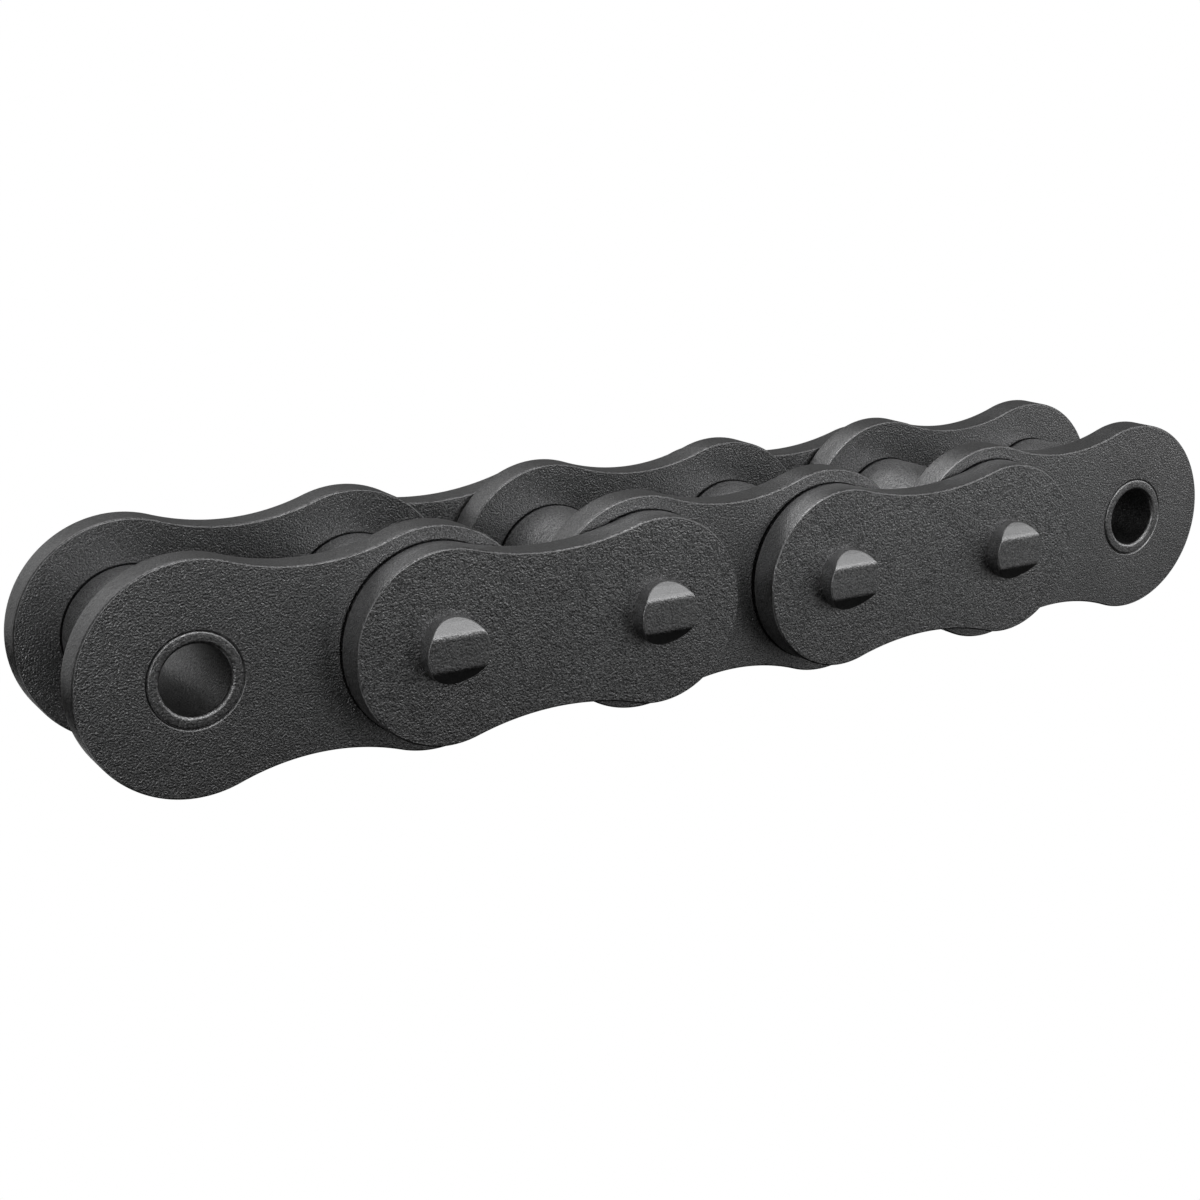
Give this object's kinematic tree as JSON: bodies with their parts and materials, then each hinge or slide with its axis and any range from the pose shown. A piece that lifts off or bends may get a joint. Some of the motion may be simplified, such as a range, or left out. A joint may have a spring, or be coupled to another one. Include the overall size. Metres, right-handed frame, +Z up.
{
  "type": "roller chain",
  "caption": "Short straight run of heavy single strand roller chain, figure-eight link plates on staked pins and bushed rollers, dark oxide finish.",
  "frame": {"origin": "middle of the straight run, on the line through the joint centres and halfway between the two rows of plates", "axes": "+X along the run, +Y along the pins (front is -Y), +Z up, square to both"},
  "size_m": [0.3018, 0.0694, 0.0478],
  "materials": {
    "plate_steel": "dark oxide, matte, fine shot-peened grain",
    "pin_steel": "dark oxide, satin, smooth ground",
    "bush_steel": "dark oxide, satin",
    "roller_steel": "dark oxide, satin, smooth ground"
  },
  "bodies": {
    "inner_link_1": {"inner_plate_1_front": "plate_steel", "inner_plate_1_back": "plate_steel", "bush_1_left": "bush_steel", "bush_1_right": "bush_steel"},
    "inner_link_2": {"inner_plate_2_front": "plate_steel", "inner_plate_2_back": "plate_steel", "bush_2_left": "bush_steel", "bush_2_right": "bush_steel"},
    "inner_link_3": {"inner_plate_3_front": "plate_steel", "inner_plate_3_back": "plate_steel", "bush_3_left": "bush_steel", "bush_3_right": "bush_steel"},
    "outer_link_1": {"outer_plate_1_front": "plate_steel", "outer_plate_1_back": "plate_steel", "pin_1_left": "pin_steel", "pin_1_right": "pin_steel"},
    "outer_link_2": {"outer_plate_2_front": "plate_steel", "outer_plate_2_back": "plate_steel", "pin_2_left": "pin_steel", "pin_2_right": "pin_steel"},
    "roller_1_left": {"roller_1_left": "roller_steel"},
    "roller_1_right": {"roller_1_right": "roller_steel"},
    "roller_2_left": {"roller_2_left": "roller_steel"},
    "roller_2_right": {"roller_2_right": "roller_steel"},
    "roller_3_left": {"roller_3_left": "roller_steel"},
    "roller_3_right": {"roller_3_right": "roller_steel"}
  },
  "joints": [
    {"name": "pin_joint_2", "type": "hinge", "parent": "inner_link_2", "child": "outer_link_1", "pos_m": [-0.0254, 0, 0], "axis": [0, -1, 0], "range_deg": [-60, 60]},
    {"name": "pin_joint_1", "type": "hinge", "parent": "outer_link_1", "child": "inner_link_1", "pos_m": [-0.0762, 0, 0], "axis": [0, -1, 0], "range_deg": [-60, 60]},
    {"name": "pin_joint_3", "type": "hinge", "parent": "inner_link_2", "child": "outer_link_2", "pos_m": [0.0254, 0, 0], "axis": [0, 1, 0], "range_deg": [-60, 60]},
    {"name": "pin_joint_4", "type": "hinge", "parent": "outer_link_2", "child": "inner_link_3", "pos_m": [0.0762, 0, 0], "axis": [0, 1, 0], "range_deg": [-60, 60]},
    {"name": "roller_1_left_spin", "type": "hinge", "parent": "inner_link_1", "child": "roller_1_left", "pos_m": [-0.127, 0, 0], "axis": [0, 1, 0], "continuous": true},
    {"name": "roller_1_right_spin", "type": "hinge", "parent": "inner_link_1", "child": "roller_1_right", "pos_m": [-0.0762, 0, 0], "axis": [0, 1, 0], "continuous": true},
    {"name": "roller_2_left_spin", "type": "hinge", "parent": "inner_link_2", "child": "roller_2_left", "pos_m": [-0.0254, 0, 0], "axis": [0, 1, 0], "continuous": true},
    {"name": "roller_2_right_spin", "type": "hinge", "parent": "inner_link_2", "child": "roller_2_right", "pos_m": [0.0254, 0, 0], "axis": [0, 1, 0], "continuous": true},
    {"name": "roller_3_left_spin", "type": "hinge", "parent": "inner_link_3", "child": "roller_3_left", "pos_m": [0.0762, 0, 0], "axis": [0, 1, 0], "continuous": true},
    {"name": "roller_3_right_spin", "type": "hinge", "parent": "inner_link_3", "child": "roller_3_right", "pos_m": [0.127, 0, 0], "axis": [0, 1, 0], "continuous": true}
  ]
}
